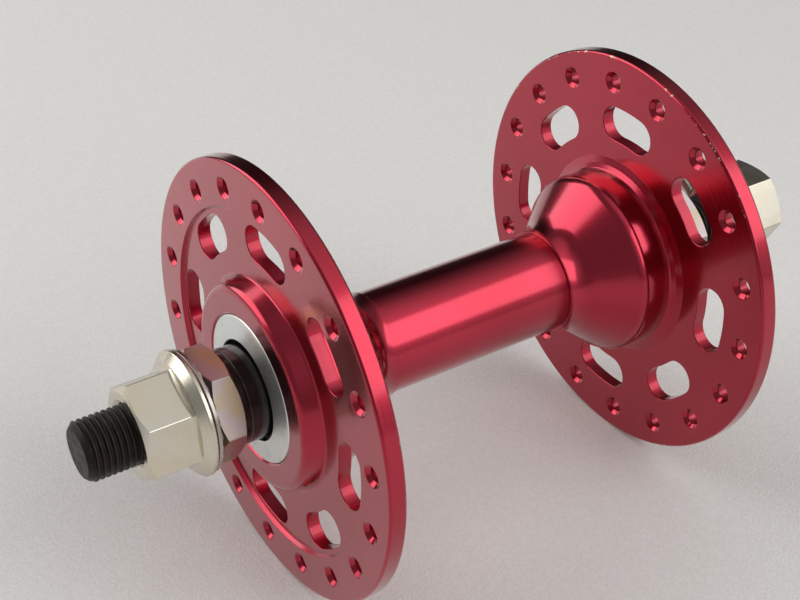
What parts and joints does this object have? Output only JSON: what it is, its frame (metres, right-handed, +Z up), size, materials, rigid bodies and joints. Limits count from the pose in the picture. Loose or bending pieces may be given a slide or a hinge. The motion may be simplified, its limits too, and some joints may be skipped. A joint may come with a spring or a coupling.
{
  "type": "bicycle front track hub",
  "caption": "High-flange bicycle front hub with slotted webs, countersunk spoke holes, cup-and-cone bearings and a threaded axle held by flanged nuts.",
  "frame": {"origin": "centre of the hub, on the axle midway between the locknut faces", "axes": "+Y along the axle towards the right end, +Z up with the hub lying on both flange rims"},
  "size_m": [0.0754, 0.14, 0.0754],
  "materials": {
    "anodised_red": "red anodised, turned and polished",
    "cap_silver": "satin clear anodised",
    "zinc_plate": "bright zinc plated",
    "locknut_zinc": "bright zinc plated, warm tint",
    "washer_zinc": "zinc plated",
    "black_oxide": "black oxide on steel",
    "cone_black": "glossy black oxide on hardened steel",
    "race_steel": "ground hardened steel",
    "ball_steel": "polished steel",
    "retainer_steel": "pressed steel"
  },
  "bodies": {
    "axle_set": {"axle": "black_oxide", "left_bearing_cone": "cone_black", "left_lock_washer": "cone_black", "left_locknut": "locknut_zinc", "right_bearing_cone": "cone_black", "right_lock_washer": "cone_black", "right_locknut": "locknut_zinc"},
    "hub_shell": {"centre_barrel": "anodised_red", "left_flange_shell": "anodised_red", "left_bearing_cup": "race_steel", "left_dust_cap": "cap_silver", "right_flange_shell": "anodised_red", "right_bearing_cup": "race_steel", "right_dust_cap": "cap_silver"},
    "left_ball_set": {"left_bearing_balls": "ball_steel", "left_ball_retainer": "retainer_steel"},
    "left_grip_washer_body": {"left_grip_washer": "washer_zinc"},
    "left_nut_body": {"left_axle_nut": "zinc_plate"},
    "right_ball_set": {"right_bearing_balls": "ball_steel", "right_ball_retainer": "retainer_steel"},
    "right_grip_washer_body": {"right_grip_washer": "washer_zinc"},
    "right_nut_body": {"right_axle_nut": "zinc_plate"}
  },
  "joints": [
    {"name": "hub_spin", "type": "hinge", "parent": "axle_set", "child": "hub_shell", "pos_m": [0, 0, 0], "axis": [0, 1, 0], "continuous": true},
    {"name": "left_ball_roll", "type": "hinge", "parent": "axle_set", "child": "left_ball_set", "pos_m": [0, -0.0355, 0], "axis": [0, 1, 0], "continuous": true},
    {"name": "left_washer_slide", "type": "slide", "parent": "axle_set", "child": "left_grip_washer_body", "axis": [0, -1, 0], "range_m": [0, 0.01901]},
    {"name": "left_nut_turn", "type": "hinge", "parent": "left_grip_washer_body", "child": "left_nut_body", "pos_m": [0, -0.056, 0], "axis": [0, -1, 0], "range_deg": [0, 6840]},
    {"name": "right_ball_roll", "type": "hinge", "parent": "axle_set", "child": "right_ball_set", "pos_m": [0, 0.0355, 0], "axis": [0, 1, 0], "continuous": true},
    {"name": "right_washer_slide", "type": "slide", "parent": "axle_set", "child": "right_grip_washer_body", "axis": [0, 1, 0], "range_m": [-0.00821, 0.01081]},
    {"name": "right_nut_turn", "type": "hinge", "parent": "right_grip_washer_body", "child": "right_nut_body", "pos_m": [0, 0.0642, 0], "axis": [0, 1, 0], "range_deg": [-2952, 3888]}
  ],
  "couplings": [
    {"joint": "left_ball_roll", "follows": "hub_spin", "ratio": 0.5957},
    {"joint": "left_washer_slide", "follows": "left_nut_turn", "m_per_rad": 0.00015915},
    {"joint": "right_ball_roll", "follows": "hub_spin", "ratio": 0.5957},
    {"joint": "right_washer_slide", "follows": "right_nut_turn", "m_per_rad": 0.00015915}
  ]
}
